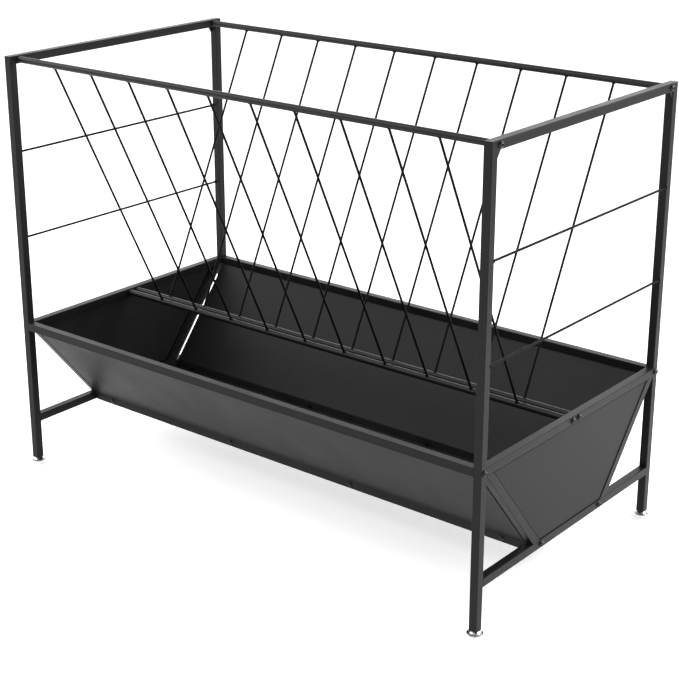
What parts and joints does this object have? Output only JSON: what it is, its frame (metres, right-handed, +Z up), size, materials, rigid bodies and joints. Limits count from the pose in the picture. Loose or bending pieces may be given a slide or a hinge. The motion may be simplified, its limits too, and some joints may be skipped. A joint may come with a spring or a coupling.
{
  "type": "trough feeder",
  "caption": "Livestock feeder: a V-shaped rack of sloping steel rods over a sheet steel trough, held in a square tube frame on levelling feet.",
  "frame": {"origin": "on the floor, under the middle of the feeder", "axes": "+X along the trough, +Y from front to back across it, +Z up"},
  "size_m": [1.558, 0.828, 1.165],
  "materials": {
    "frame_coat": "matt black powder coat on square steel tube",
    "rack_tube_coat": "matt black powder coat on round steel tube",
    "rod_coat": "matt black powder coat on steel rod",
    "sheet_coat": "matt black powder coat on sheet steel",
    "black_screw": "black oxide on steel",
    "zinc_insert": "bright zinc plate",
    "nickel_plate": "bright nickel plate",
    "black_nylon": "moulded black nylon"
  },
  "bodies": {
    "frame": {"back_left_brace": "frame_coat", "back_left_foot_plug": "black_nylon", "back_left_post": "frame_coat", "back_rack_foot_tube": "rack_tube_coat", "back_rack_rods": "rod_coat", "back_rack_top_tube": "rack_tube_coat", "back_right_brace": "frame_coat", "back_right_foot_plug": "black_nylon", "back_right_post": "frame_coat", "back_rim_rail": "frame_coat", "back_slope_sheet": "sheet_coat", "bottom_pan": "sheet_coat", "front_left_brace": "frame_coat", "front_left_foot_plug": "black_nylon", "front_left_post": "frame_coat", "front_rack_foot_tube": "rack_tube_coat", "front_rack_rods": "rod_coat", "front_rack_top_tube": "rack_tube_coat", "front_right_brace": "frame_coat", "front_right_foot_plug": "black_nylon", "front_right_post": "frame_coat", "front_rim_rail": "frame_coat", "front_slope_sheet": "sheet_coat", "left_corner_gussets": "frame_coat", "left_end_panel": "sheet_coat", "left_end_rods": "rod_coat", "left_rim_rail": "frame_coat", "left_sill_rail": "frame_coat", "left_top_rail": "frame_coat", "pan_nuts": "black_screw", "pan_screws": "black_screw", "rack_foot_screws": "black_screw", "rack_top_screws": "black_screw", "rack_tube_inserts": "zinc_insert", "right_corner_gussets": "frame_coat", "right_end_panel": "sheet_coat", "right_end_rods": "rod_coat", "right_rim_rail": "frame_coat", "right_sill_rail": "frame_coat", "right_top_rail": "frame_coat", "rim_rail_inserts": "zinc_insert", "rim_screws": "black_screw", "seam_nuts": "black_screw", "seam_screws": "black_screw"},
    "front_left_foot_pad": {"front_left_foot_pad": "nickel_plate"},
    "front_left_foot_stud": {"front_left_foot_stud": "nickel_plate"},
    "front_right_foot_pad": {"front_right_foot_pad": "nickel_plate"},
    "front_right_foot_stud": {"front_right_foot_stud": "nickel_plate"},
    "back_left_foot_pad": {"back_left_foot_pad": "nickel_plate"},
    "back_left_foot_stud": {"back_left_foot_stud": "nickel_plate"},
    "back_right_foot_pad": {"back_right_foot_pad": "nickel_plate"},
    "back_right_foot_stud": {"back_right_foot_stud": "nickel_plate"}
  },
  "joints": [
    {"name": "front_left_foot_height", "type": "slide", "parent": "frame", "child": "front_left_foot_pad", "axis": [0, 0, -1], "range_m": [0, 0.015]},
    {"name": "front_left_stud_turn", "type": "hinge", "parent": "front_left_foot_pad", "child": "front_left_foot_stud", "pos_m": [-0.759, -0.394, 0.02], "axis": [0, 0, -1], "range_deg": [0, 4321]},
    {"name": "front_right_foot_height", "type": "slide", "parent": "frame", "child": "front_right_foot_pad", "axis": [0, 0, -1], "range_m": [0, 0.015]},
    {"name": "front_right_stud_turn", "type": "hinge", "parent": "front_right_foot_pad", "child": "front_right_foot_stud", "pos_m": [0.759, -0.394, 0.02], "axis": [0, 0, -1], "range_deg": [0, 4321]},
    {"name": "back_left_foot_height", "type": "slide", "parent": "frame", "child": "back_left_foot_pad", "axis": [0, 0, -1], "range_m": [0, 0.015]},
    {"name": "back_left_stud_turn", "type": "hinge", "parent": "back_left_foot_pad", "child": "back_left_foot_stud", "pos_m": [-0.759, 0.394, 0.02], "axis": [0, 0, -1], "range_deg": [0, 4321]},
    {"name": "back_right_foot_height", "type": "slide", "parent": "frame", "child": "back_right_foot_pad", "axis": [0, 0, -1], "range_m": [0, 0.015]},
    {"name": "back_right_stud_turn", "type": "hinge", "parent": "back_right_foot_pad", "child": "back_right_foot_stud", "pos_m": [0.759, 0.394, 0.02], "axis": [0, 0, -1], "range_deg": [0, 4321]}
  ],
  "couplings": [
    {"joint": "front_left_stud_turn", "follows": "front_left_foot_height", "rad_per_m": 5026.5},
    {"joint": "front_right_stud_turn", "follows": "front_right_foot_height", "rad_per_m": 5026.5},
    {"joint": "back_left_stud_turn", "follows": "back_left_foot_height", "rad_per_m": 5026.5},
    {"joint": "back_right_stud_turn", "follows": "back_right_foot_height", "rad_per_m": 5026.5}
  ]
}
